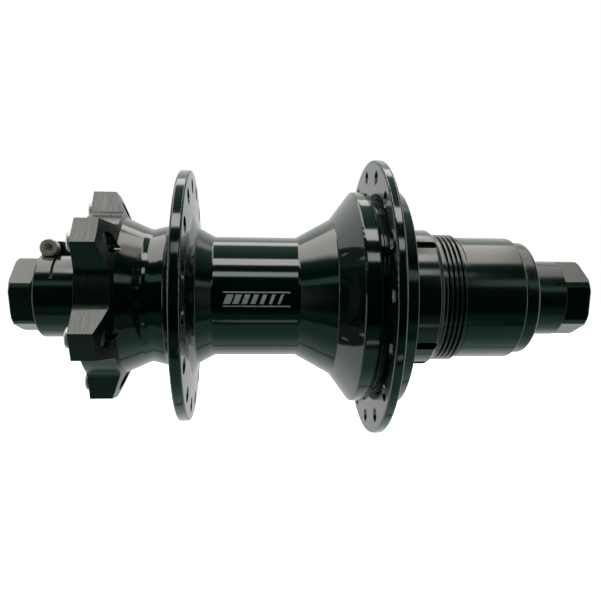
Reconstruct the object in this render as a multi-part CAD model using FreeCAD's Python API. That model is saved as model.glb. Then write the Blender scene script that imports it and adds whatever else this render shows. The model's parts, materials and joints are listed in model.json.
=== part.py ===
import FreeCAD, Part
import math
import os
from FreeCAD import Vector

# Rear bicycle hub for a 12 mm through-axle, in millimetres.
# +X runs along the axle towards the cassette side, +Z is up, +Y is the way the bicycle goes.
# The origin is on the axle, midway between the two end faces.
# Angles are right-handed about +X and start at +Z, so 90 degrees points along -Y.

# ---- overall and frame fit
OVER_LOCKNUT = 148.0
THRU_AXLE_BORE_R = 6.05
END = OVER_LOCKNUT / 2
TOUCH_GAP = 0.03
RUN_GAP = 0.05

# ---- hollow axle
AXLE_R = 8.5
AXLE_BORE_R = 7.5
AXLE_BODY_R = 10.0
AXLE_LEFT = -68.55
AXLE_RIGHT = 56.2
AXLE_BODY_LEFT = -46.0

# ---- end caps
LEFT_HEX_START = -68.6
LEFT_HEX_FLATS = 17.0
LEFT_HEX_STOCK_R = 9.5
LEFT_HEX_PHASE = 16.4
RIGHT_HEX_START = 67.2
RIGHT_HEX_FLATS = 18.0
RIGHT_HEX_PHASE = 9.8
HEX_END_CHAMFER = 0.4
CAP_NECK_R = 10.0
CAP_NOSE_R = 9.6
CAP_FLANGE_R = 15.0
CAP_FLANGE_LEFT = 54.1
CAP_FLANGE_RIGHT = 57.9
CAP_SPIGOT_R = AXLE_BORE_R - RUN_GAP
CAP_SPIGOT_LENGTH = 10.0
O_RING_SECTION_R = 0.36
O_RING_FROM_SPIGOT_END = 2.5

# ---- preload collar and its pinch screw
COLLAR_R = 10.85
COLLAR_LEFT = -68.0
COLLAR_NOSE_R = 10.3
COLLAR_NOSE_LENGTH = 0.45
COLLAR_FLAT_Z = 9.8
COLLAR_SLIT = 0.8
COLLAR_RELIEF_X = -63.4
COLLAR_RELIEF_WIDTH = 0.6
NEAR_EAR_END = -63.9
FAR_EAR_END = -59.4
FAR_EAR_TOP_END = -63.2
EAR_FOOT_Z = 9.0
EAR_CORNER = 1.9
SCREW_X = -65.6
SCREW_Z = 11.8
EAR_ABOVE_SCREW = 2.1
SCREW_HEAD_R = 2.25
SCREW_HEAD_LENGTH = 2.5
SCREW_SHANK_R = 1.25
SCREW_KEY = 2.0
SCREW_KEY_DEPTH = 1.3
HEAD_ROOM = 0.1
NEAR_EAR_Y = -3.0
FAR_EAR_Y = 4.6

# ---- rotor mount
MOUNT_FACE = -55.4
MOUNT_PCD = 44.0
MOUNT_TABS = 6
MOUNT_PHASE = 56.5
TAB_TIP_R = 26.5
TAB_TIP_HALF = 3.5
TAB_ROOT_HALF = 6.3
VALLEY_R = 21.0
VALLEY_FILLET = 3.0
MOUNT_BACK_TIP = -49.75
MOUNT_BACK_ROOT = -46.6
MOUNT_BACK_ROOT_R = 19.9
ROTOR_SCREW_R = 2.5
ROTOR_SCREW_TOP = -57.1
ROTOR_SCREW_TIP = -48.9
ROTOR_SCREW_CHAMFER = 0.4
ROTOR_SCREW_KEY = 2.5
ROTOR_SCREW_KEY_DEPTH = 2.2
ROTOR_SCREW_PITCH = 0.8
ROTOR_SCREW_GROOVES = 4

# ---- spoke flanges
SPOKES_PER_SIDE = 16
SPOKE_HOLE_R = 1.3
SPOKE_SINK_R = 1.95
SPOKE_SINK_DEPTH = 0.6
LEFT_FLANGE_R = 32.4
LEFT_FLANGE_OUT = -32.95
LEFT_FLANGE_IN = -30.25
LEFT_SPOKE_PCD = 57.0
LEFT_SPOKE_PHASE = 11.25
RIGHT_FLANGE_R = 36.0
RIGHT_FLANGE_IN = 15.95
RIGHT_FLANGE_OUT = 18.3
MOUTH_ROOT_R = 29.6
RIGHT_SPOKE_PCD = 64.0
RIGHT_SPOKE_PHASE = 0.0

# ---- hub shell body; profile corners are (x, radius, rounding)
NECK_PROFILE = ((-40.3, 17.1, 3.0), (-37.3, 17.9, 0.6), (-35.6, 18.3, 1.2), (-33.7, 21.5, 3.0))
LEFT_SHOULDER = ((-29.7, 21.0, 2.2), (-28.6, 17.8, 0.8))
BARREL_R = 15.5
BARREL_LEFT = -24.4
BARREL_RIGHT = -3.4
BARREL_BLEND = 1.5
CONE_BEND = (5.7, 20.6, 0.6)
FLANGE_EDGE = 0.6
DRUM_LEFT = 10.9
DRUM_EDGE = 0.8
DRUM_R = 27.7
DRUM_RIGHT = 14.9
GROOVE_R = 25.3
MOUTH_R = 28.2
MOUTH_X = 22.8
SHELL_BORE_R = 13.0
RATCHET_BORE_R = 24.5
RATCHET_BORE_LEFT = 12.0

# ---- ratchet
RATCHET_TEETH = 72
RING_LEFT = 12.1
RING_RIGHT = 20.6
TOOTH_TIP_R = 21.2
TOOTH_ROOT_R = 22.2
PAWLS = 6
PAWL_PIVOT_R = 17.6
PAWL_HEEL_R = 1.6
PAWL_LEAD = 19.5
PAWL_TUCK = 9.0
PAWL_NOSE_SHORT = 2.6
PAWL_RAMP_SHORT = 4.8
PAWL_NOSE_DROP = 0.2
PAWL_NOSE_UNDER = 0.9
PAWL_BACK_DROP = 0.15
PAWL_BACK = (2.05, 19.5)
PAWL_BELLY = (1.0, 16.35)
POCKET_HEEL_Y = -0.35
POCKET_NOSE = ((8.3, 17.8), (6.9, 17.8), (0.85, 16.1))
POCKET_PLAY = 0.1
PAWL_LEFT = 13.1
PAWL_RIGHT = 19.9
MAGNET_R = 0.9
MAGNET_LOW = 15.1
MAGNET_HIGH = 17.0
MAGNET_OFFSET = 4.8

# ---- driver body
CARRIER_LEFT = 12.4
CARRIER_R = 20.4
DRIVER_SEAL_R = 17.6
SPLINE_R = 18.05
SPLINE_LEFT = 22.75
SPLINE_RIGHT = 31.1
SLOT_WIDTH = 2.5
SLOT_FLOOR_R = 16.6
SLOT_ANGLES = (43.4, 133.4, 163.4, 223.4, 313.4, 343.4)
THREAD_R = 16.85
THREAD_ROOT_R = 16.1
THREAD_PITCH = 1.2
THREAD_GROOVES = 5
THREAD_FIRST = 33.6
THREAD_CREST_HALF = 0.42
THREAD_ROOT_HALF = 0.08
THREAD_RELIEF = 0.15
SLOT_RUN_OUT = 0.6
CLIP_DEPTH = 0.6
CLIP_GROOVE_WIDTH = 1.0
CLIP_THICKNESS = 0.9
CLIP_PLAY = 0.1
CLIP_BAND = 1.7
CLIP_EAR_ANGLE = 27.0
CLIP_EAR_R = 1.3
CLIP_EYE_R = 0.55
PILOT_R = 16.15
PILOT_LEFT = 39.0
DRIVER_RIGHT = 53.85
DRIVER_BORE_R = 11.5

# ---- bearings: bore radius, outer radius, width, ball radius, ball count
LARGE_BEARING = (AXLE_R, 15.0, 7.0, 1.95, 11)
SMALL_BEARING = (AXLE_R, 13.0, 5.0, 1.2, 14)
DISC_BEARING_LEFT = -54.4
DRUM_BEARING_LEFT = 2.5
DRIVER_INNER_LEFT = 13.0
DRIVER_OUTER_LEFT = 47.0
BEARINGS = (
    ("disc_bearing", DISC_BEARING_LEFT, LARGE_BEARING),
    ("drum_bearing", DRUM_BEARING_LEFT, LARGE_BEARING),
    ("driver_inner_bearing", DRIVER_INNER_LEFT, SMALL_BEARING),
    ("driver_outer_bearing", DRIVER_OUTER_LEFT, SMALL_BEARING),
)

# ---- seals and spacers
SEAL_WEB = 1.5
SEAL_LIP_GAP = 0.1
SPACER_RING_R = 10.0
SPACER_TUBE_R = 9.6

AXIS = Vector(1, 0, 0)
CENTRE = Vector(0, 0, 0)


# ---------------------------------------------------------------- helpers

def rounded_loop(corners, place):
    """A closed wire of straight runs; a corner given as (a, b, radius) becomes an arc."""
    stations = []
    for i, corner in enumerate(corners):
        here = Vector(corner[0], corner[1], 0)
        radius = corner[2] if len(corner) > 2 else 0
        if not radius:
            stations.append((here, None, here))
            continue
        before = corners[i - 1]
        after = corners[(i + 1) % len(corners)]
        back = (Vector(before[0], before[1], 0) - here).normalize()
        ahead = (Vector(after[0], after[1], 0) - here).normalize()
        half = back.getAngle(ahead) / 2
        reach = radius / math.tan(half)
        centre = here + (back + ahead).normalize() * (radius / math.sin(half))
        middle = centre + (here - centre).normalize() * radius
        stations.append((here + back * reach, middle, here + ahead * reach))
    edges = []
    for i, (entry, middle, leave) in enumerate(stations):
        last = stations[i - 1][2]
        if last.distanceToPoint(entry) > 1e-6:
            edges.append(Part.LineSegment(place(last), place(entry)).toShape())
        if middle is not None:
            edges.append(Part.Arc(place(entry), place(middle), place(leave)).toShape())
    return Part.Wire(edges)


def turned(corners):
    """A solid of revolution about the axle from (x, radius) corners."""
    wire = rounded_loop(corners, lambda p: Vector(p.x, 0, p.y))
    return Part.Face(wire).revolve(CENTRE, AXIS, 360)


def section(corners, left, right):
    """A prism along the axle from (y, z) corners."""
    wire = rounded_loop(corners, lambda p: Vector(left, p.x, p.y))
    return Part.Face(wire).extrude(AXIS * (right - left))


def side_block(corners, near, far):
    """A prism along Y from (x, z) corners."""
    wire = rounded_loop(corners, lambda p: Vector(p.x, near, p.y))
    return Part.Face(wire).extrude(Vector(0, far - near, 0))


def rod(left, right, radius, y=0.0, z=0.0):
    """A cylinder along the axle direction."""
    return Part.makeCylinder(radius, right - left, Vector(left, y, z), AXIS)


def sleeve(left, right, inner, outer):
    """A plain ring about the axle."""
    return rod(left, right, outer).cut(rod(left, right, inner))


def spun(shape, angle):
    """A copy turned about the axle."""
    copy = shape.copy()
    copy.rotate(CENTRE, AXIS, angle)
    return copy


def spaced(shape, count, phase=0.0):
    """Copies at equal angles about the axle."""
    return [spun(shape, phase + i * 360.0 / count) for i in range(count)]


def hexagon(left, right, flats, phase):
    """A hexagonal prism about the axle with a corner at the phase angle."""
    corner_r = flats / math.sqrt(3)
    corners = []
    for i in range(6):
        angle = math.radians(phase + 60 * i)
        corners.append((-corner_r * math.sin(angle), corner_r * math.cos(angle)))
    return section(corners, left, right)


def save(name, *shapes):
    """Write one node: one solid, or a group of separate solids."""
    solids = [solid for shape in shapes for solid in shape.Solids]
    node = solids[0] if len(solids) == 1 else Part.makeCompound(solids)
    node.exportStep("parts/" + name + ".step")
    print("%-30s solids %2d  valid %s  volume %9.1f" % (name, len(solids), node.isValid(), node.Volume))


# ---------------------------------------------------------------- hub shell

def rotor_mount():
    """Six tabs on a round core, with the back faces sloping away from the rotor."""
    slope = (TAB_ROOT_HALF - TAB_TIP_HALF) / (TAB_TIP_R - VALLEY_R)
    inner_r = SHELL_BORE_R
    inner_half = TAB_TIP_HALF + slope * (TAB_TIP_R - inner_r)
    corners = [
        (-inner_half, inner_r),
        (-TAB_TIP_HALF, TAB_TIP_R),
        (TAB_TIP_HALF, TAB_TIP_R),
        (inner_half, inner_r),
    ]
    tab = section(corners, MOUNT_FACE, MOUNT_BACK_ROOT)
    star = rod(MOUNT_FACE, MOUNT_BACK_ROOT, VALLEY_R).multiFuse(spaced(tab, MOUNT_TABS, MOUNT_PHASE))
    star = star.removeSplitter()
    roots = []
    for edge in star.Edges:
        middle = edge.CenterOfMass
        along = abs(edge.BoundBox.XLength - (MOUNT_BACK_ROOT - MOUNT_FACE)) < 1e-6
        if along and math.hypot(middle.y, middle.z) < VALLEY_R + 1:
            roots.append(edge)
    star = star.makeFillet(VALLEY_FILLET, roots)
    tip_r = TAB_TIP_R + 1
    steep = (MOUNT_BACK_ROOT - MOUNT_BACK_TIP) / (TAB_TIP_R - MOUNT_BACK_ROOT_R)
    blank = turned([
        (MOUNT_FACE, 0),
        (MOUNT_FACE, tip_r),
        (MOUNT_BACK_TIP - steep, tip_r),
        (MOUNT_BACK_ROOT, MOUNT_BACK_ROOT_R),
        (MOUNT_BACK_ROOT, 0),
    ])
    return star.common(blank)


def shell_outside():
    """Neck, left flange, barrel, drum, right flange and mouth in one turned form."""
    return turned([
        (MOUNT_BACK_ROOT, 0),
        (MOUNT_BACK_ROOT, MOUNT_BACK_ROOT_R),
        *NECK_PROFILE,
        (LEFT_FLANGE_OUT, LEFT_FLANGE_R, FLANGE_EDGE),
        (LEFT_FLANGE_IN, LEFT_FLANGE_R, FLANGE_EDGE),
        *LEFT_SHOULDER,
        (BARREL_LEFT, BARREL_R, BARREL_BLEND),
        (BARREL_RIGHT, BARREL_R, BARREL_BLEND),
        CONE_BEND,
        (DRUM_LEFT, DRUM_R, DRUM_EDGE),
        (DRUM_RIGHT, DRUM_R, DRUM_EDGE),
        (DRUM_RIGHT, GROOVE_R, 0.2),
        (RIGHT_FLANGE_IN, GROOVE_R, 0.2),
        (RIGHT_FLANGE_IN, RIGHT_FLANGE_R, FLANGE_EDGE),
        (RIGHT_FLANGE_OUT, RIGHT_FLANGE_R, FLANGE_EDGE),
        (RIGHT_FLANGE_OUT, MOUTH_ROOT_R, 0.5),
        (MOUTH_X, MOUTH_R, 0.3),
        (MOUTH_X, 0),
    ])


def shell_inside():
    """Two bearing seats, the bore between them and the ratchet bore, as one turned plug."""
    seat_r = LARGE_BEARING[1]
    width = LARGE_BEARING[2]
    return turned([
        (MOUNT_FACE - 1, 0),
        (MOUNT_FACE - 1, seat_r),
        (DISC_BEARING_LEFT + width, seat_r),
        (DISC_BEARING_LEFT + width, SHELL_BORE_R),
        (DRUM_BEARING_LEFT, SHELL_BORE_R),
        (DRUM_BEARING_LEFT, seat_r),
        (RATCHET_BORE_LEFT, seat_r),
        (RATCHET_BORE_LEFT, RATCHET_BORE_R),
        (MOUTH_X + 1, RATCHET_BORE_R),
        (MOUTH_X + 1, 0),
    ])


def spoke_holes(inner_x, outer_x, pcd, phase):
    """One flange's ring of spoke holes, countersunk from both faces."""
    low = min(inner_x, outer_x)
    high = max(inner_x, outer_x)
    flare = (SPOKE_SINK_R - SPOKE_HOLE_R) / SPOKE_SINK_DEPTH
    mouth = SPOKE_SINK_R + flare
    deep = 1 + SPOKE_SINK_DEPTH
    drill = rod(low - 2, high + 2, SPOKE_HOLE_R, 0, pcd / 2)
    foot = Vector(low - 1, 0, pcd / 2)
    top = Vector(high - SPOKE_SINK_DEPTH, 0, pcd / 2)
    left_sink = Part.makeCone(mouth, SPOKE_HOLE_R, deep, foot, AXIS)
    right_sink = Part.makeCone(SPOKE_HOLE_R, mouth, deep, top, AXIS)
    tool = drill.multiFuse([left_sink, right_sink])
    return spaced(tool, SPOKES_PER_SIDE, phase)


def hub_shell():
    body = rotor_mount().fuse(shell_outside()).removeSplitter()
    tools = [shell_inside()]
    screw_hole = rod(MOUNT_FACE - 1, MOUNT_BACK_ROOT + 1, ROTOR_SCREW_R, 0, MOUNT_PCD / 2)
    tools += spaced(screw_hole, MOUNT_TABS, MOUNT_PHASE)
    tools += spoke_holes(LEFT_FLANGE_IN, LEFT_FLANGE_OUT, LEFT_SPOKE_PCD, LEFT_SPOKE_PHASE)
    tools += spoke_holes(RIGHT_FLANGE_IN, RIGHT_FLANGE_OUT, RIGHT_SPOKE_PCD, RIGHT_SPOKE_PHASE)
    return body.cut(tools)


def rotor_screw():
    """A headless screw with a hexagon socket, and thread grooves near its tip."""
    edge_r = ROTOR_SCREW_R - ROTOR_SCREW_CHAMFER
    body = turned([
        (ROTOR_SCREW_TOP, 0),
        (ROTOR_SCREW_TOP, edge_r),
        (ROTOR_SCREW_TOP + ROTOR_SCREW_CHAMFER, ROTOR_SCREW_R),
        (ROTOR_SCREW_TIP - ROTOR_SCREW_CHAMFER, ROTOR_SCREW_R),
        (ROTOR_SCREW_TIP, edge_r),
        (ROTOR_SCREW_TIP, 0),
    ])
    key = hexagon(ROTOR_SCREW_TOP - 1, ROTOR_SCREW_TOP + ROTOR_SCREW_KEY_DEPTH, ROTOR_SCREW_KEY, 0)
    grooves = []
    for i in range(ROTOR_SCREW_GROOVES):
        x = ROTOR_SCREW_TIP - 0.9 - ROTOR_SCREW_PITCH * i
        outer_r = ROTOR_SCREW_R + 0.1
        grooves.append(turned([(x - 0.3, outer_r), (x, edge_r), (x + 0.3, outer_r)]))
    body = body.cut([key] + grooves)
    body.translate(Vector(0, 0, MOUNT_PCD / 2))
    return body


# ---------------------------------------------------------------- ratchet

def drive_ring():
    """Inside teeth: a radial wall, then a ramp that falls to the next wall."""
    step = 360.0 / RATCHET_TEETH
    corners = []
    for i in range(RATCHET_TEETH):
        angle = math.radians(i * step)
        corners.append((-TOOTH_TIP_R * math.sin(angle), TOOTH_TIP_R * math.cos(angle)))
        corners.append((-TOOTH_ROOT_R * math.sin(angle), TOOTH_ROOT_R * math.cos(angle)))
    hole = section(corners, RING_LEFT - 1, RING_RIGHT + 1)
    return rod(RING_LEFT, RING_RIGHT, RATCHET_BORE_R).cut(hole)


def pawl_angle(index):
    """Angle of a pawl's pivot, so that its nose meets a tooth wall."""
    return PAWL_LEAD + index * 360.0 / PAWLS


def pawl():
    """A nose that leans outwards from a round heel, drawn with the heel straight up and then tucked in."""
    nose_angle = math.radians(PAWL_LEAD - PAWL_NOSE_SHORT)
    ramp_angle = math.radians(PAWL_LEAD - PAWL_RAMP_SHORT)
    nose_top_r = TOOTH_ROOT_R - PAWL_NOSE_DROP
    nose_low_r = TOOTH_TIP_R - PAWL_NOSE_UNDER
    back_r = TOOTH_TIP_R - PAWL_BACK_DROP
    top = PAWL_PIVOT_R + PAWL_HEEL_R
    blade = section([
        (0, top),
        PAWL_BACK,
        (back_r * math.sin(ramp_angle), back_r * math.cos(ramp_angle)),
        (nose_top_r * math.sin(nose_angle), nose_top_r * math.cos(nose_angle)),
        (nose_low_r * math.sin(nose_angle), nose_low_r * math.cos(nose_angle)),
        PAWL_BELLY,
    ], PAWL_LEFT, PAWL_RIGHT)
    heel = rod(PAWL_LEFT, PAWL_RIGHT, PAWL_HEEL_R, 0, PAWL_PIVOT_R)
    body = heel.fuse(blade).removeSplitter()
    body.rotate(Vector(0, 0, PAWL_PIVOT_R), AXIS, -PAWL_TUCK)
    return body


def pawl_pocket():
    """The carrier's cut-out for one pawl: a socket for the heel and room for the swing."""
    left = PAWL_LEFT - POCKET_PLAY
    right = PAWL_RIGHT + POCKET_PLAY
    high = CARRIER_R + 1
    room = section([
        (POCKET_HEEL_Y, PAWL_PIVOT_R),
        (POCKET_HEEL_Y, high),
        (POCKET_NOSE[0][0], high),
        *POCKET_NOSE,
    ], left, right)
    socket = rod(left, right, PAWL_HEEL_R + RUN_GAP, 0, PAWL_PIVOT_R)
    return room.fuse(socket)


def magnet():
    """A small round magnet under a pawl's nose, pressed into the pocket floor."""
    middle = (PAWL_LEFT + PAWL_RIGHT) / 2
    foot = Vector(middle, MAGNET_OFFSET, MAGNET_LOW)
    return Part.makeCylinder(MAGNET_R, MAGNET_HIGH - MAGNET_LOW, foot, Vector(0, 0, 1))


# ---------------------------------------------------------------- driver

def driver_slot():
    """A slot through the spline lands, open at the hub and rounded at its outer end."""
    half = SLOT_WIDTH / 2
    end = SPLINE_RIGHT + SLOT_RUN_OUT - half
    high = SPLINE_R + 1
    box = Part.makeBox(end - SPLINE_LEFT + 1, SLOT_WIDTH, high - SLOT_FLOOR_R,
                       Vector(SPLINE_LEFT - 1, -half, SLOT_FLOOR_R))
    nose = Part.makeCylinder(half, high - SLOT_FLOOR_R, Vector(end, 0, SLOT_FLOOR_R), Vector(0, 0, 1))
    return box.fuse(nose)


def driver_body():
    seat_r = SMALL_BEARING[1]
    width = SMALL_BEARING[2]
    body = turned([
        (CARRIER_LEFT, seat_r),
        (CARRIER_LEFT, CARRIER_R, 0.3),
        (RING_RIGHT, CARRIER_R, 0.3),
        (RING_RIGHT, DRIVER_SEAL_R, 0.3),
        (SPLINE_LEFT, DRIVER_SEAL_R),
        (SPLINE_LEFT, SPLINE_R, 0.2),
        (SPLINE_RIGHT, SPLINE_R, 0.3),
        (SPLINE_RIGHT + 1.1, THREAD_R + THREAD_RELIEF, 0.2),
        (THREAD_FIRST - 0.6, THREAD_R + THREAD_RELIEF),
        (THREAD_FIRST - 0.5, THREAD_R),
        (PILOT_LEFT - 1.0, THREAD_R),
        (PILOT_LEFT - 1.0, THREAD_ROOT_R - THREAD_RELIEF),
        (PILOT_LEFT, THREAD_ROOT_R - THREAD_RELIEF),
        (PILOT_LEFT, PILOT_R, 0.15),
        (DRIVER_RIGHT, PILOT_R, 0.5),
        (DRIVER_RIGHT, seat_r),
        (DRIVER_OUTER_LEFT, seat_r),
        (DRIVER_OUTER_LEFT, DRIVER_BORE_R),
        (DRIVER_INNER_LEFT + width, DRIVER_BORE_R),
        (DRIVER_INNER_LEFT + width, seat_r),
    ])
    tools = []
    for i in range(THREAD_GROOVES - 1):
        x = THREAD_FIRST + THREAD_PITCH * i
        tools.append(turned([
            (x - THREAD_CREST_HALF, THREAD_R + 0.1),
            (x - THREAD_ROOT_HALF, THREAD_ROOT_R),
            (x + THREAD_ROOT_HALF, THREAD_ROOT_R),
            (x + THREAD_CREST_HALF, THREAD_R + 0.1),
        ]))
    clip_left = DRIVER_OUTER_LEFT + width + CLIP_PLAY
    tools.append(sleeve(clip_left, clip_left + CLIP_GROOVE_WIDTH, seat_r - 1, seat_r + CLIP_DEPTH))
    tools += [spun(driver_slot(), angle) for angle in SLOT_ANGLES]
    for i in range(PAWLS):
        tools.append(spun(pawl_pocket(), pawl_angle(i)))
        tools.append(spun(magnet(), pawl_angle(i)))
    return body.cut(tools)


def retaining_ring():
    """A split ring in the driver's groove that keeps the outer bearing in."""
    left = DRIVER_OUTER_LEFT + SMALL_BEARING[2] + CLIP_PLAY
    right = left + CLIP_THICKNESS
    outer = SMALL_BEARING[1] + CLIP_DEPTH - RUN_GAP
    eye_z = outer - CLIP_BAND + CLIP_PLAY
    ring = sleeve(left, right, outer - CLIP_BAND, outer)
    gap = section([(0, 0), (-5.5, 16), (5.5, 16)], left - 1, right + 1)
    ear = rod(left, right, CLIP_EAR_R, 0, eye_z)
    eye = rod(left - 1, right + 1, CLIP_EYE_R, 0, eye_z)
    angles = (-CLIP_EAR_ANGLE, CLIP_EAR_ANGLE)
    ring = ring.cut(gap).multiFuse([spun(ear, angle) for angle in angles])
    return ring.cut([spun(eye, angle) for angle in angles])


# ---------------------------------------------------------------- bearings

def bearing(left, kind):
    """Races, balls, cage and two rubber seals of a deep-groove ball bearing."""
    bore, outer, width, ball_r, balls = kind
    right = left + width
    middle = left + width / 2
    pitch_r = (bore + outer) / 2
    track_r = ball_r + RUN_GAP
    inner_land = pitch_r - ball_r * 0.69
    outer_land = pitch_r + ball_r * 0.69
    track = Part.makeTorus(pitch_r, track_r, Vector(middle, 0, 0), AXIS)
    inner = turned([
        (left, bore, 0.2),
        (left, inner_land, 0.15),
        (right, inner_land, 0.15),
        (right, bore, 0.2),
    ]).cut(track)
    outside = turned([
        (left, outer_land, 0.15),
        (left, outer, 0.3),
        (right, outer, 0.3),
        (right, outer_land, 0.15),
    ]).cut(track)
    ball = Part.makeSphere(ball_r, Vector(middle, 0, pitch_r))
    ball_set = spaced(ball, balls)
    cage_half = ball_r * 1.2
    cage_wall = ball_r * 0.36
    cage = sleeve(middle - cage_half, middle + cage_half, pitch_r - cage_wall, pitch_r + cage_wall)
    pocket = Part.makeCylinder(ball_r + 0.04, 2 * pitch_r, Vector(middle, 0, 0), Vector(0, 0, 1))
    cage = cage.cut(spaced(pocket, balls))
    seal_out = width / 2 - 0.25
    seal_in = seal_out - 0.4
    seals = [
        sleeve(middle - seal_out, middle - seal_in, inner_land + 0.1, outer_land),
        sleeve(middle + seal_in, middle + seal_out, inner_land + 0.1, outer_land),
    ]
    return inner, outside, ball_set, cage, seals


# ---------------------------------------------------------------- axle group

def axle():
    return turned([
        (AXLE_LEFT, AXLE_BORE_R, 0.2),
        (AXLE_LEFT, AXLE_R, 0.3),
        (AXLE_BODY_LEFT, AXLE_R),
        (AXLE_BODY_LEFT, AXLE_BODY_R, 0.3),
        (DRUM_BEARING_LEFT, AXLE_BODY_R, 0.3),
        (DRUM_BEARING_LEFT, AXLE_R),
        (AXLE_RIGHT, AXLE_R, 0.3),
        (AXLE_RIGHT, AXLE_BORE_R, 0.2),
    ])


def o_ring_groove(x):
    """A square groove in a cap's spigot."""
    depth_r = CAP_SPIGOT_R - 2 * O_RING_SECTION_R + 0.02
    return sleeve(x - 0.5, x + 0.5, depth_r, CAP_SPIGOT_R + 1)


def o_ring(x):
    centre_r = CAP_SPIGOT_R - O_RING_SECTION_R + 0.03
    return Part.makeTorus(centre_r, O_RING_SECTION_R, Vector(x, 0, 0), AXIS)


def disc_cap_ring_x():
    return LEFT_HEX_START + CAP_SPIGOT_LENGTH - O_RING_FROM_SPIGOT_END


def drive_cap_ring_x():
    return AXLE_RIGHT - CAP_SPIGOT_LENGTH + O_RING_FROM_SPIGOT_END


def disc_side_end_cap():
    """A hexagonal head, cut from round stock, on a spigot that plugs into the axle."""
    spigot_end = LEFT_HEX_START + CAP_SPIGOT_LENGTH
    blank = turned([
        (-END, THRU_AXLE_BORE_R, 0.5),
        (-END, LEFT_HEX_STOCK_R - HEX_END_CHAMFER),
        (-END + HEX_END_CHAMFER, LEFT_HEX_STOCK_R),
        (LEFT_HEX_START, LEFT_HEX_STOCK_R, 0.3),
        (LEFT_HEX_START, CAP_SPIGOT_R),
        (spigot_end, CAP_SPIGOT_R, 0.3),
        (spigot_end, THRU_AXLE_BORE_R, 0.2),
    ])
    head = hexagon(-END - 1, LEFT_HEX_START, LEFT_HEX_FLATS, LEFT_HEX_PHASE)
    stem = rod(LEFT_HEX_START, spigot_end + 1, AXLE_BODY_R)
    return blank.common(head.fuse(stem)).cut(o_ring_groove(disc_cap_ring_x()))


def drive_side_end_cap():
    """A hexagonal end, a round neck, a dust flange and a spigot inside the axle."""
    spigot_end = AXLE_RIGHT - CAP_SPIGOT_LENGTH
    nose_left = DRIVER_OUTER_LEFT + SMALL_BEARING[2] + TOUCH_GAP
    axle_room_r = AXLE_R + RUN_GAP
    blank = turned([
        (spigot_end, THRU_AXLE_BORE_R, 0.2),
        (spigot_end, CAP_SPIGOT_R, 0.3),
        (AXLE_RIGHT + 0.1, CAP_SPIGOT_R),
        (AXLE_RIGHT + 0.1, axle_room_r),
        (nose_left, axle_room_r),
        (nose_left, CAP_NOSE_R, 0.2),
        (CAP_FLANGE_LEFT, CAP_NOSE_R),
        (CAP_FLANGE_LEFT, CAP_FLANGE_R, 0.4),
        (CAP_FLANGE_RIGHT, CAP_FLANGE_R, 0.9),
        (CAP_FLANGE_RIGHT, CAP_NECK_R, 0.3),
        (END - HEX_END_CHAMFER, CAP_NECK_R),
        (END, CAP_NECK_R - HEX_END_CHAMFER),
        (END, THRU_AXLE_BORE_R, 0.5),
    ])
    head = hexagon(RIGHT_HEX_START, END + 1, RIGHT_HEX_FLATS, RIGHT_HEX_PHASE)
    rest = rod(spigot_end - 1, RIGHT_HEX_START, CAP_FLANGE_R + 1)
    return blank.common(head.fuse(rest)).cut(o_ring_groove(drive_cap_ring_x()))


def preload_collar():
    """A split collar with two pinch ears on top; its nose bears on the disc side bearing."""
    nose_end = DISC_BEARING_LEFT - TOUCH_GAP
    bore = AXLE_R + RUN_GAP
    ear_top = SCREW_Z + EAR_ABOVE_SCREW
    body = turned([
        (COLLAR_LEFT, bore),
        (COLLAR_LEFT, COLLAR_R, 0.6),
        (nose_end - COLLAR_NOSE_LENGTH, COLLAR_R, 0.1),
        (nose_end - COLLAR_NOSE_LENGTH, COLLAR_NOSE_R),
        (nose_end, COLLAR_NOSE_R),
        (nose_end, bore),
    ])
    flat = Part.makeBox(30, 30, 10, Vector(COLLAR_LEFT - 1, -15, COLLAR_FLAT_Z))
    far_ear = side_block([
        (COLLAR_LEFT, EAR_FOOT_Z),
        (COLLAR_LEFT, ear_top, EAR_CORNER),
        (FAR_EAR_TOP_END, ear_top, EAR_CORNER),
        (FAR_EAR_END - 0.8, COLLAR_R - 0.25, 0.6),
        (FAR_EAR_END, EAR_FOOT_Z),
    ], 0, FAR_EAR_Y)
    near_ear = side_block([
        (COLLAR_LEFT, EAR_FOOT_Z),
        (COLLAR_LEFT, ear_top, EAR_CORNER),
        (NEAR_EAR_END, ear_top, EAR_CORNER),
        (NEAR_EAR_END, EAR_FOOT_Z),
    ], NEAR_EAR_Y, 0)
    body = body.cut(flat).multiFuse([far_ear, near_ear]).removeSplitter()
    slit = Part.makeBox(40, COLLAR_SLIT, 10, Vector(COLLAR_LEFT - 1, -COLLAR_SLIT / 2, 7.0))
    slit = slit.common(rod(COLLAR_LEFT - 2, COLLAR_RELIEF_X, 20))
    relief_left = COLLAR_RELIEF_X - COLLAR_RELIEF_WIDTH
    relief = Part.makeBox(COLLAR_RELIEF_WIDTH, 30, 12, Vector(relief_left, -15, 4.0))
    relief = relief.common(rod(COLLAR_LEFT, nose_end, COLLAR_R + 0.5))
    back_ear = Part.makeBox(8, FAR_EAR_Y, 12, Vector(COLLAR_RELIEF_X - 4, 0, 4.0))
    relief = relief.cut(back_ear)
    along = Vector(0, 1, 0)
    shank_hole = Part.makeCylinder(SCREW_SHANK_R, 30, Vector(SCREW_X, -15, SCREW_Z), along)
    head_room_start = Vector(SCREW_X, NEAR_EAR_Y - 10, SCREW_Z)
    head_room = Part.makeCylinder(SCREW_HEAD_R + HEAD_ROOM, 10, head_room_start, along)
    room = rod(COLLAR_LEFT - 1, nose_end + 1, bore)
    return body.cut([slit, relief, shank_hole, head_room, room])


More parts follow.
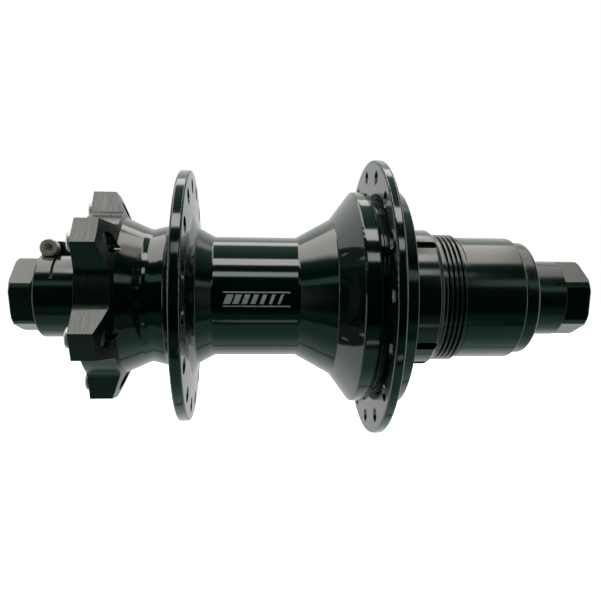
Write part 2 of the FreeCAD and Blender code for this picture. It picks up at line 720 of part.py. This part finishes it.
def pinch_screw():
    """A socket-head screw across the collar's split."""
    head_front = NEAR_EAR_Y - SCREW_HEAD_LENGTH
    along = Vector(0, 1, 0)
    head = Part.makeCylinder(SCREW_HEAD_R, SCREW_HEAD_LENGTH, Vector(SCREW_X, head_front, SCREW_Z), along)
    head = head.makeFillet(0.3, [edge for edge in head.Edges if edge.CenterOfMass.y < head_front + 0.1])
    shank = Part.makeCylinder(SCREW_SHANK_R, FAR_EAR_Y - NEAR_EAR_Y - 0.4,
                              Vector(SCREW_X, NEAR_EAR_Y, SCREW_Z), along)
    key_r = SCREW_KEY / math.sqrt(3)
    corners = []
    for i in range(6):
        angle = math.radians(60 * i + 30)
        corners.append((SCREW_X + key_r * math.cos(angle), SCREW_Z + key_r * math.sin(angle)))
    key = side_block(corners, head_front - 1, head_front + SCREW_KEY_DEPTH)
    return head.fuse(shank).cut(key)


# ---------------------------------------------------------------- seals and spacers

def dust_seal():
    """A thin rubber ring in front of the disc side bearing; it clears the collar."""
    return sleeve(MOUNT_FACE + 0.15, MOUNT_FACE + 0.8, COLLAR_R + SEAL_LIP_GAP, LARGE_BEARING[1])


def driver_seal():
    """A rubber ring in the shell's mouth with a thin lip round the driver."""
    left = RING_RIGHT + 0.5
    right = MOUTH_X - 0.3
    return turned([
        (left, RATCHET_BORE_R - SEAL_WEB),
        (left, RATCHET_BORE_R),
        (right, RATCHET_BORE_R),
        (right, DRIVER_SEAL_R + SEAL_LIP_GAP),
        (right - 0.5, DRIVER_SEAL_R + SEAL_LIP_GAP),
        (right - 0.7, RATCHET_BORE_R - SEAL_WEB, 0.2),
    ])


def spacer_ring():
    left = DRUM_BEARING_LEFT + LARGE_BEARING[2]
    return sleeve(left, DRIVER_INNER_LEFT, AXLE_R + RUN_GAP, SPACER_RING_R)


def spacer_tube():
    left = DRIVER_INNER_LEFT + SMALL_BEARING[2]
    return sleeve(left, DRIVER_OUTER_LEFT, AXLE_R + RUN_GAP, SPACER_TUBE_R)


def build():
    os.makedirs("parts", exist_ok=True)
    save("hub_shell", hub_shell())
    save("rotor_screws", *spaced(rotor_screw(), MOUNT_TABS, MOUNT_PHASE))
    save("drive_ring", drive_ring())
    for i in range(PAWLS):
        save("pawl_%d" % (i + 1), spun(pawl(), pawl_angle(i)))
    save("pawl_magnets", *[spun(magnet(), pawl_angle(i)) for i in range(PAWLS)])
    save("driver_body", driver_body())
    save("driver_retaining_ring", retaining_ring())
    for name, left, kind in BEARINGS:
        inner, outside, balls, cage, seals = bearing(left, kind)
        save(name + "_inner_race", inner)
        save(name + "_outer_race", outside)
        save(name + "_balls", *balls)
        save(name + "_cage", cage)
        save(name + "_seals", *seals)
    save("axle", axle())
    save("axle_spacer_ring", spacer_ring())
    save("axle_spacer_tube", spacer_tube())
    save("preload_collar", preload_collar())
    save("pinch_screw", pinch_screw())
    save("disc_side_end_cap", disc_side_end_cap())
    save("disc_side_cap_o_ring", o_ring(disc_cap_ring_x()))
    save("drive_side_end_cap", drive_side_end_cap())
    save("drive_side_cap_o_ring", o_ring(drive_cap_ring_x()))
    save("disc_side_dust_seal", dust_seal())
    save("driver_seal", driver_seal())


build()
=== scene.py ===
import json
import math

import bmesh
import bpy
from mathutils import Matrix, Vector


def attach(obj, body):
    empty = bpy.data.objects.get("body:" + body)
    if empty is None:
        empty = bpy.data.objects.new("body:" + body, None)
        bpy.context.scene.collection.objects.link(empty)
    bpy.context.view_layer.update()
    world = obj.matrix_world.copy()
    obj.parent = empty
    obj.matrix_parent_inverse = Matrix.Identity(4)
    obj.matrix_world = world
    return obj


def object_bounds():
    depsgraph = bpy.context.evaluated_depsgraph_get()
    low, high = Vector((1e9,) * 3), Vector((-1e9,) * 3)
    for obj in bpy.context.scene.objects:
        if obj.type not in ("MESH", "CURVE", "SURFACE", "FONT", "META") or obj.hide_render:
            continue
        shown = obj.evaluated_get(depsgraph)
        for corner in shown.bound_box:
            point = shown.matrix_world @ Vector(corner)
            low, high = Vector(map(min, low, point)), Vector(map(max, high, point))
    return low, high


# Looks for the rear hub: procedural finishes on the CAD nodes, an etched mark, studio and camera.
# Metres, in the CAD frame: +X along the axle to the cassette side, +Z up, camera on the -Y side.

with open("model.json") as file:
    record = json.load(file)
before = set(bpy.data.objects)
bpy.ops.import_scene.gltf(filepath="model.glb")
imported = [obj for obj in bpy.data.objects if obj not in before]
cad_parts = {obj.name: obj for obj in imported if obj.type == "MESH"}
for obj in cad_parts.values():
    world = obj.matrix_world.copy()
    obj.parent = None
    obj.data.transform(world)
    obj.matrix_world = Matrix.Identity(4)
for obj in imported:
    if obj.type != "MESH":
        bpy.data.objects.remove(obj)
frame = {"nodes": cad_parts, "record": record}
cad_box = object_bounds()
nodes = frame["nodes"]

MM = 0.001

# ---- camera: position in millimetres, turns in degrees
CAMERA_AT = (-15.61, -162.9, -0.67)
CAMERA_YAW = -4.84
CAMERA_PITCH = -0.16
CAMERA_ROLL = -0.32
CAMERA_LENS = 36.57

# ---- sizes of the added pieces, in millimetres
BARREL_R = 15.5
MARK_LEFT = -21.8
MARK_RIGHT = -5.6
MARK_TOP = 1.0
MARK_BOTTOM = -2.7
FLOOR_DROP = 45.0
FLOOR_REACH = 3000.0
FLOOR_GLOW = 0.7
FLOOR_GRAIN_SCALE = 40.0
PLATE_PROUD = 0.015
PLATE_SUNK = 0.06
PLATE_STEPS = 8
MARK_STROKE = 0.32
MARK_BARS = 7
MARK_LEAN = 0.9
# clear space inside the lines in strokes; the first bar's share of its pitch, and how much each loses
MARK_INSET = 2.2
MARK_FIRST_SHARE = 0.78
MARK_SHARE_STEP = 0.08

# ---- finishes: lengths in millimetres, noise scales per metre, the rest plain numbers
OXIDE_IOR = 1.75
OXIDE_STRETCH = 0.3
OXIDE_BUMP = 0.35
CLOUD_SCALE = 180.0
EDGE_ROUND = 0.10
METAL_EDGE_ROUND = 0.08
METAL_BUMP = 0.4
STAIN_SCALE = 300.0
# worn edges: the dye is rubbed off as the rounded normal turns away from the true one
EDGE_RUB = 0.4
RUB_STARTS = 0.995
RUB_FULL = 0.90
RUB_SCALE = 900.0
RUBBED_COLOUR = (0.32, 0.31, 0.30)
# dust specks: one place in each cell, of which a share carries a speck
SPECK_CELL = 4.5
SPECK_SIZE = 0.13
SPECK_RARITY = 0.72
SPECK_COLOUR = (0.45, 0.45, 0.44)
# cutter marks on the milled tabs; their depth is a factor on the turned marks' depth
CUT_PITCH = 0.35
CUT_DEPTH = 3.0
CUT_WANDER = 0.6
CUT_WANDER_SCALE = 260.0
CUT_LEAN = 0.04
# the shell is milled left of this place along the axle, outside this radius, at this roughness
MILLED = (-46.6, 19.9, 0.26)
MILLED_BLEND = 0.2
GRAIN_BUMP = 0.3
GRAIN_DEPTH = 0.03
GRAIN_TO_CLOUD = 12
SPECKLE_SCALE = 6000.0
SPECKLE_BUMP = 0.2
SPECKLE_DEPTH = 0.01
# noise between these two values drives every finish from one end of its range to the other
NOISE_LOW = 0.3
NOISE_HIGH = 0.7


# ---------------------------------------------------------------- shader helpers

class Graph:
    """A short way to write node trees."""

    def __init__(self, tree):
        self.tree = tree
        tree.nodes.clear()

    def node(self, kind, **settings):
        made = self.tree.nodes.new(kind)
        for key, value in settings.items():
            setattr(made, key, value)
        return made

    def feed(self, socket, value):
        """Link a socket to an output, or set it to a number."""
        if isinstance(value, bpy.types.NodeSocket):
            self.tree.links.new(value, socket)
        else:
            socket.default_value = value

    def math(self, operation, a, b=0.0, clamp=False):
        made = self.node("ShaderNodeMath", operation=operation, use_clamp=clamp)
        self.feed(made.inputs[0], a)
        self.feed(made.inputs[1], b)
        return made.outputs[0]

    def combine(self, x, y, z):
        made = self.node("ShaderNodeCombineXYZ")
        for socket, value in zip(made.inputs, (x, y, z)):
            self.feed(socket, value)
        return made.outputs[0]

    def split(self, vector):
        made = self.node("ShaderNodeSeparateXYZ")
        self.feed(made.inputs[0], vector)
        return made.outputs

    def noise(self, vector, scale, detail=2.0, roughness=0.5):
        made = self.node("ShaderNodeTexNoise")
        self.feed(made.inputs["Vector"], vector)
        made.inputs["Scale"].default_value = scale
        made.inputs["Detail"].default_value = detail
        made.inputs["Roughness"].default_value = roughness
        return made.outputs["Fac"]

    def ramp(self, factor, stops):
        """A colour ramp from (position, colour) stops."""
        made = self.node("ShaderNodeValToRGB")
        self.feed(made.inputs[0], factor)
        elements = made.color_ramp.elements
        while len(elements) < len(stops):
            elements.new(1.0)
        for element, (position, colour) in zip(elements, stops):
            element.position = position
            element.color = (*colour, 1.0)
        return made.outputs[0]

    def spread(self, value, low, high, out_low, out_high, smooth=False):
        made = self.node("ShaderNodeMapRange")
        if smooth:
            made.interpolation_type = "SMOOTHSTEP"
        for socket, entry in zip(made.inputs, (value, low, high, out_low, out_high)):
            self.feed(socket, entry)
        return made.outputs[0]

    def blend(self, factor, a, b, mode="MIX"):
        made = self.node("ShaderNodeMix", data_type="RGBA", blend_type=mode)
        self.feed(made.inputs[0], factor)
        self.feed(made.inputs[6], a if isinstance(a, bpy.types.NodeSocket) else (*a, 1.0))
        self.feed(made.inputs[7], b if isinstance(b, bpy.types.NodeSocket) else (*b, 1.0))
        return made.outputs[2]

    def bump(self, height, strength, distance, normal=None):
        made = self.node("ShaderNodeBump")
        made.inputs["Strength"].default_value = strength
        made.inputs["Distance"].default_value = distance
        self.feed(made.inputs["Height"], height)
        if normal is not None:
            self.feed(made.inputs["Normal"], normal)
        return made.outputs[0]


def new_material(name):
    material = bpy.data.materials.new(name)
    material.use_nodes = True
    graph = Graph(material.node_tree)
    shader = graph.node("ShaderNodeBsdfPrincipled")
    output = graph.node("ShaderNodeOutputMaterial")
    graph.feed(output.inputs["Surface"], shader.outputs[0])
    place = graph.node("ShaderNodeTexCoord").outputs["Object"]
    return material, graph, shader, place


def lathe_coordinates(graph, place):
    """Along the axle and out from it, so that marks run round the part as a lathe leaves them."""
    x, y, z = graph.split(place)
    squares = graph.math("ADD", graph.math("MULTIPLY", y, y), graph.math("MULTIPLY", z, z))
    return x, graph.math("SQRT", squares)


def lathe_marks(graph, place, pitch):
    """Noise that changes along the axle and the radius but not round the part."""
    x, radius = lathe_coordinates(graph, place)
    vector = graph.combine(x, radius, 0.0)
    return graph.noise(vector, 1.0 / (pitch * MM), detail=3.0, roughness=0.6)


def soft_edges(graph, radius):
    """Rounds the shading at machined edges."""
    made = graph.node("ShaderNodeBevel", samples=4)
    made.inputs["Radius"].default_value = radius * MM
    return made.outputs[0]


def dust(graph, place, cell, size):
    """1 on a few tiny specks, 0 elsewhere."""
    cells = graph.node("ShaderNodeTexVoronoi")
    graph.feed(cells.inputs["Vector"], place)
    cells.inputs["Scale"].default_value = 1.0 / (cell * MM)
    near = graph.math("LESS_THAN", cells.outputs["Distance"], size / cell)
    chosen = graph.math("GREATER_THAN", graph.split(cells.outputs["Color"])[0], SPECK_RARITY)
    return graph.math("MULTIPLY", near, chosen)


def milled_zone(graph, place, limits):
    """1 beyond a radius and left of a place along the axle, where the shell is milled, 0 elsewhere."""
    x, radius = lathe_coordinates(graph, place)
    left, out = limits
    beyond = graph.spread(radius, (out - MILLED_BLEND) * MM, (out + MILLED_BLEND) * MM, 0.0, 1.0)
    return graph.math("MULTIPLY", beyond, graph.math("LESS_THAN", x, left * MM))


def cutter_marks(graph, place, pitch):
    """Streaks that run across the part at constant places along the axle."""
    x, _, z = graph.split(place)
    wander = graph.math("MULTIPLY", graph.noise(place, CUT_WANDER_SCALE), CUT_WANDER * MM)
    vector = graph.combine(graph.math("ADD", x, wander), graph.math("MULTIPLY", z, CUT_LEAN), 0.0)
    return graph.noise(vector, 1.0 / (pitch * MM), detail=4.0, roughness=0.65)


def varied(graph, noise, value, least, most):
    """A value that runs from its least to its most share as the noise goes from low to high."""
    return graph.spread(noise, NOISE_LOW, NOISE_HIGH, value * least, value * most)


def anodised(name, dark, light, roughness, mark_pitch, mark_depth, milled=None):
    """Dyed oxide on turned aluminium: a dark body under a clear, slightly grooved surface."""
    material, graph, shader, place = new_material(name)
    marks = lathe_marks(graph, place, mark_pitch)
    gloss = varied(graph, marks, roughness, 0.75, 1.3)
    height = marks
    if milled:
        zone = milled_zone(graph, place, milled[:2])
        cuts = cutter_marks(graph, place, CUT_PITCH)
        matt = varied(graph, cuts, milled[2], 0.75, 1.3)
        gloss = graph.spread(zone, 0.0, 1.0, gloss, matt)
        height = graph.spread(zone, 0.0, 1.0, marks, graph.math("MULTIPLY", cuts, CUT_DEPTH))
    clouds = graph.noise(place, CLOUD_SCALE, detail=3.0)
    tint = graph.blend(graph.spread(clouds, 0.35, 0.7, 0.0, 1.0), dark, light)
    edge_normal = soft_edges(graph, EDGE_ROUND)
    true_normal = graph.node("ShaderNodeNewGeometry").outputs["Normal"]
    agree = graph.node("ShaderNodeVectorMath", operation="DOT_PRODUCT")
    graph.feed(agree.inputs[0], edge_normal)
    graph.feed(agree.inputs[1], true_normal)
    rub = graph.spread(agree.outputs["Value"], RUB_STARTS, RUB_FULL, 0.0, EDGE_RUB)
    rubbed = graph.math("MULTIPLY", rub, graph.noise(place, RUB_SCALE), clamp=True)
    bared = graph.blend(rubbed, tint, RUBBED_COLOUR)
    specks = dust(graph, place, SPECK_CELL, SPECK_SIZE)
    shader.inputs["IOR"].default_value = OXIDE_IOR
    shader.inputs["Anisotropic"].default_value = OXIDE_STRETCH
    tangent = graph.node("ShaderNodeTangent", direction_type="RADIAL", axis="X")
    graph.feed(shader.inputs["Tangent"], tangent.outputs[0])
    graph.feed(shader.inputs["Base Color"], graph.blend(specks, bared, SPECK_COLOUR))
    graph.feed(shader.inputs["Roughness"], gloss)
    graph.feed(shader.inputs["Normal"], graph.bump(height, OXIDE_BUMP, mark_depth * MM, edge_normal))
    return material


def bare_metal(name, dark, light, roughness, mark_pitch, mark_depth, metallic=1.0):
    """Ground or polished steel and alloy; a low metallic value gives a dull plated coat."""
    material, graph, shader, place = new_material(name)
    marks = lathe_marks(graph, place, mark_pitch)
    stains = graph.noise(place, STAIN_SCALE, detail=4.0)
    shader.inputs["Metallic"].default_value = metallic
    graph.feed(shader.inputs["Base Color"], graph.blend(varied(graph, stains, 1.0, 0.0, 1.0), dark, light))
    graph.feed(shader.inputs["Roughness"], varied(graph, marks, roughness, 0.7, 1.4))
    edge_normal = soft_edges(graph, METAL_EDGE_ROUND)
    graph.feed(shader.inputs["Normal"], graph.bump(marks, METAL_BUMP, mark_depth * MM, edge_normal))
    return material


def moulded(name, dark, light, roughness, grain):
    """Rubber or plastic with a fine moulded grain."""
    material, graph, shader, place = new_material(name)
    fine = graph.noise(place, grain, detail=4.0, roughness=0.6)
    broad = graph.noise(place, grain / GRAIN_TO_CLOUD)
    graph.feed(shader.inputs["Base Color"], graph.blend(broad, dark, light))
    graph.feed(shader.inputs["Roughness"], varied(graph, fine, roughness, 0.85, 1.1))
    graph.feed(shader.inputs["Normal"], graph.bump(fine, GRAIN_BUMP, GRAIN_DEPTH * MM))
    return material


def etched(name):
    """Laser-etched oxide: pale, matt and slightly speckled."""
    material, graph, shader, place = new_material(name)
    speckle = graph.noise(place, SPECKLE_SCALE)
    graph.feed(shader.inputs["Base Color"], graph.blend(speckle, (0.50, 0.50, 0.49), (0.80, 0.80, 0.78)))
    graph.feed(shader.inputs["Roughness"], graph.spread(speckle, NOISE_LOW, NOISE_HIGH, 0.55, 0.8))
    graph.feed(shader.inputs["Normal"], graph.bump(speckle, SPECKLE_BUMP, SPECKLE_DEPTH * MM))
    return material


# For each metal slot: dark colour, light colour, roughness, then the pitch and the depth of the
# machining marks in millimetres.  The shell adds its milled zone, the screws their metallic value.
DYED = {
    "shell_anodised": ((0.0006, 0.0085, 0.0060), (0.0016, 0.0115, 0.0085), 0.075, 0.25, 0.0015, MILLED),
    "driver_anodised": ((0.0008, 0.0090, 0.0065), (0.0020, 0.0125, 0.0095), 0.13, 0.20, 0.003),
    "cap_anodised": ((0.0008, 0.0090, 0.0065), (0.0020, 0.0120, 0.0092), 0.20, 0.18, 0.004),
    "collar_anodised": ((0.0008, 0.0088, 0.0064), (0.0018, 0.0118, 0.0090), 0.12, 0.18, 0.004),
}
BARE = {
    "axle_alloy": ((0.42, 0.42, 0.43), (0.55, 0.55, 0.56), 0.28, 0.2, 0.010),
    "ratchet_steel": ((0.38, 0.37, 0.36), (0.50, 0.49, 0.47), 0.25, 0.2, 0.008),
    "bearing_steel": ((0.55, 0.55, 0.56), (0.64, 0.64, 0.65), 0.12, 0.3, 0.003),
    "screw_steel": ((0.60, 0.57, 0.51), (0.80, 0.77, 0.70), 0.32, 0.2, 0.008, 0.5),
    "spring_steel": ((0.10, 0.10, 0.11), (0.16, 0.16, 0.17), 0.38, 0.2, 0.010),
    "magnet_nickel": ((0.60, 0.58, 0.54), (0.68, 0.66, 0.62), 0.14, 0.2, 0.003),
}
# For each soft slot: dark colour, light colour, roughness and the grain's scale per metre.
MOULDED = {
    "seal_rubber": ((0.010, 0.010, 0.010), (0.022, 0.022, 0.021), 0.62, 4000.0),
    "cage_nylon": ((0.08, 0.07, 0.05), (0.12, 0.10, 0.075), 0.5, 3000.0),
}
FINISHES = {}
for make, table in ((anodised, DYED), (bare_metal, BARE), (moulded, MOULDED)):
    for slot, numbers in table.items():
        FINISHES[slot] = make(slot, *numbers)


def dress_nodes():
    """Give every CAD node the finish that its record slot names."""
    for entry in frame["record"]["subparts"]:
        mesh = nodes[entry["node"]].data
        finish = FINISHES[entry["material_slot"]]
        if not mesh.materials:
            mesh.materials.append(finish)
        for index in range(len(mesh.materials)):
            mesh.materials[index] = finish


# ---------------------------------------------------------------- added pieces

def barrel_point(x, z, radius):
    """A point on the barrel's camera side at a height z, in millimetres in and metres out."""
    return Vector((x, -math.sqrt(radius * radius - z * z), z)) * MM


def etched_plate(mesh, corners):
    """A thin closed plate that follows the barrel, from four (x, z) corners."""
    rows = []
    for radius in (BARREL_R + PLATE_PROUD, BARREL_R - PLATE_SUNK):
        (ax, az), (bx, bz), (cx, cz), (dx, dz) = corners
        line = []
        for i in range(PLATE_STEPS + 1):
            t = i / PLATE_STEPS
            line.append((
                mesh.verts.new(barrel_point(ax + (dx - ax) * t, az + (dz - az) * t, radius)),
                mesh.verts.new(barrel_point(bx + (cx - bx) * t, bz + (cz - bz) * t, radius)),
            ))
        rows.append(line)
    top, under = rows
    for i in range(PLATE_STEPS):
        mesh.faces.new((top[i][0], top[i][1], top[i + 1][1], top[i + 1][0]))
        mesh.faces.new((under[i][0], under[i + 1][0], under[i + 1][1], under[i][1]))
        mesh.faces.new((top[i][0], top[i + 1][0], under[i + 1][0], under[i][0]))
        mesh.faces.new((top[i][1], under[i][1], under[i + 1][1], top[i + 1][1]))
    mesh.faces.new((top[0][0], under[0][0], under[0][1], top[0][1]))
    mesh.faces.new((top[-1][0], top[-1][1], under[-1][1], under[-1][0]))


def etched_mark():
    """A generic band of slanted bars between two fine lines."""
    mesh = bmesh.new()
    for z in (MARK_TOP, MARK_BOTTOM + MARK_STROKE):
        under = z - MARK_STROKE
        etched_plate(mesh, [(MARK_LEFT, z), (MARK_RIGHT, z), (MARK_RIGHT, under), (MARK_LEFT, under)])
    inset = MARK_INSET * MARK_STROKE
    low = MARK_BOTTOM + inset
    high = MARK_TOP - inset
    pitch = (MARK_RIGHT - MARK_LEFT - MARK_LEAN) / MARK_BARS
    for i in range(MARK_BARS):
        width = pitch * (MARK_FIRST_SHARE - MARK_SHARE_STEP * i)
        x = MARK_LEFT + pitch * i
        top = x + MARK_LEAN
        etched_plate(mesh, [(top, high), (top + width, high), (x + width, low), (x, low)])
    bmesh.ops.recalc_face_normals(mesh, faces=mesh.faces)
    data = bpy.data.meshes.new("etched_mark")
    mesh.to_mesh(data)
    mesh.free()
    piece = bpy.data.objects.new("etched_mark", data)
    bpy.context.scene.collection.objects.link(piece)
    data.materials.append(etched("etched_oxide"))
    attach(piece, "hub_shell")


# ---------------------------------------------------------------- studio

def sky_mask(graph, turn, x, turns, widths, soft_turn, soft_x):
    """1 inside a window of the surroundings, given by its angle round the axle and its lean along it."""
    rise = graph.spread(turn, turns[0] - soft_turn, turns[0] + soft_turn, 0.0, 1.0, smooth=True)
    fall = graph.spread(turn, turns[1] - soft_turn, turns[1] + soft_turn, 1.0, 0.0, smooth=True)
    left = graph.spread(x, widths[0] - soft_x, widths[0] + soft_x, 0.0, 1.0, smooth=True)
    right = graph.spread(x, widths[1] - soft_x, widths[1] + soft_x, 1.0, 0.0, smooth=True)
    return graph.math("MULTIPLY", graph.math("MULTIPLY", rise, fall), graph.math("MULTIPLY", left, right))


# The surroundings are described by two numbers: the angle round the axle, from the camera's side up
# over the top, and the lean along the axle.  Each entry is a lit window: angles, leans, colour,
# strength, softness in degrees and softness of the lean.  The last two light both ends of the axle.
SOFTBOXES = (
    ((61, 75), (-0.28, 0.31), (1.0, 0.98, 0.94), 4.5, 1.2, 0.02),
    ((114, 127), (-0.30, 0.29), (1.0, 0.98, 0.94), 3.3, 1.5, 0.02),
    ((63, 123), (-0.64, -0.25), (1.0, 0.98, 0.92), 2.9, 2.5, 0.03),
    ((67, 119), (0.27, 0.41), (1.0, 0.97, 0.88), 3.2, 3.0, 0.03),
    ((68, 117), (0.38, 0.52), (1.0, 0.96, 0.90), 1.5, 3.0, 0.03),
    ((37, 46), (-0.12, 0.32), (0.86, 1.0, 0.94), 2.7, 1.2, 0.03),
    ((21, 33), (0.35, 0.80), (0.60, 1.0, 0.88), 0.6, 3.0, 0.05),
    ((25, 37), (-0.80, -0.22), (0.50, 1.0, 0.84), 0.4, 2.0, 0.05),
    ((-51, -47), (-0.05, 0.33), (0.80, 1.0, 0.94), 0.8, 0.8, 0.03),
    ((-190, 190), (0.86, 1.5), (0.96, 1.0, 0.98), 1.0, 1.0, 0.10),
    ((-190, 190), (-1.5, -0.86), (0.96, 1.0, 0.98), 1.0, 1.0, 0.10),
)

# (angle, colour) of the tent between the windows
TENT = (
    (-180, (0.60, 0.62, 0.61)),
    (-142, (0.94, 1.00, 0.97)),
    (-122, (0.66, 0.80, 0.73)),
    (-114, (0.46, 0.60, 0.54)),
    (-112.5, (0.14, 0.20, 0.17)),
    (-110.5, (0.14, 0.20, 0.17)),
    (-109, (0.44, 0.62, 0.56)),
    (-95, (0.26, 0.42, 0.36)),
    (-80, (0.12, 0.26, 0.21)),
    (-58, (0.12, 0.24, 0.19)),
    (-55, (0.02, 0.05, 0.04)),
    (-38, (0.03, 0.10, 0.08)),
    (-28, (0.0, 0.0, 0.0)),
    (50, (0.0, 0.0, 0.0)),
    (80, (0.07, 0.14, 0.11)),
    (108, (0.20, 0.32, 0.26)),
    (130, (0.86, 0.92, 0.87)),
    (145, (1.00, 1.04, 1.00)),
    (180, (0.60, 0.62, 0.61)),
)


def studio_sky():
    """White to the camera; in reflections a white tent with softboxes, dark on the camera's side."""
    world = bpy.data.worlds.new("studio")
    bpy.context.scene.world = world
    world.use_nodes = True
    graph = Graph(world.node_tree)
    x, y, z = graph.split(graph.node("ShaderNodeTexCoord").outputs["Generated"])
    turn = graph.math("ARCTAN2", z, graph.math("MULTIPLY", y, -1.0))
    turn = graph.math("MULTIPLY", turn, 180.0 / math.pi)
    whole = graph.spread(turn, -180.0, 180.0, 0.0, 1.0)
    glow = graph.ramp(whole, [((angle + 180.0) / 360.0, colour) for angle, colour in TENT])
    for turns, leans, colour, strength, soft_turn, soft_x in SOFTBOXES:
        mask = sky_mask(graph, turn, x, turns, leans, soft_turn, soft_x)
        glow = graph.blend(mask, glow, tuple(strength * part for part in colour), mode="LIGHTEN")
    camera_ray = graph.node("ShaderNodeLightPath").outputs["Is Camera Ray"]
    back = graph.node("ShaderNodeBackground")
    graph.feed(back.inputs["Color"], graph.blend(camera_ray, glow, (1.0, 1.0, 1.0)))
    output = graph.node("ShaderNodeOutputWorld")
    graph.feed(output.inputs["Surface"], back.outputs[0])


def floor():
    """A plain pale floor under the hub."""
    low = cad_box[0][2] - FLOOR_DROP * MM
    mesh = bpy.data.meshes.new("floor")
    reach = FLOOR_REACH * MM
    corners = [(-reach, -reach, low), (reach, -reach, low), (reach, reach, low), (-reach, reach, low)]
    mesh.from_pydata(corners, [], [(0, 1, 2, 3)])
    piece = bpy.data.objects.new("floor", mesh)
    bpy.context.scene.collection.objects.link(piece)
    material, graph, shader, place = new_material("pale_floor")
    grain = graph.noise(place, FLOOR_GRAIN_SCALE, detail=3.0)
    graph.feed(shader.inputs["Base Color"], graph.blend(grain, (0.90, 0.90, 0.90), (0.94, 0.94, 0.94)))
    graph.feed(shader.inputs["Roughness"], graph.spread(grain, NOISE_LOW, NOISE_HIGH, 0.8, 0.95))
    shader.inputs["Emission Color"].default_value = (1.0, 1.0, 1.0, 1.0)
    shader.inputs["Emission Strength"].default_value = FLOOR_GLOW
    mesh.materials.append(material)
    piece.visible_glossy = False
    piece.visible_diffuse = False


def camera():
    data = bpy.data.cameras.new("camera")
    data.sensor_width = 36.0
    data.lens = CAMERA_LENS
    data.clip_start = 0.01
    data.clip_end = 20.0
    eye = bpy.data.objects.new("camera", data)
    bpy.context.scene.collection.objects.link(eye)
    turn = Matrix.Rotation(math.radians(CAMERA_YAW), 4, "Z")
    turn = turn @ Matrix.Rotation(math.radians(CAMERA_PITCH), 4, "X")
    turn = turn @ Matrix.Rotation(math.radians(CAMERA_ROLL), 4, "Y")
    level = Matrix.Rotation(math.radians(90.0), 4, "X")
    eye.matrix_world = Matrix.Translation(Vector(CAMERA_AT) * MM) @ turn @ level
    bpy.context.scene.camera = eye


camera()
studio_sky()
floor()
dress_nodes()
etched_mark()
bpy.context.scene.view_settings.view_transform = "Standard"
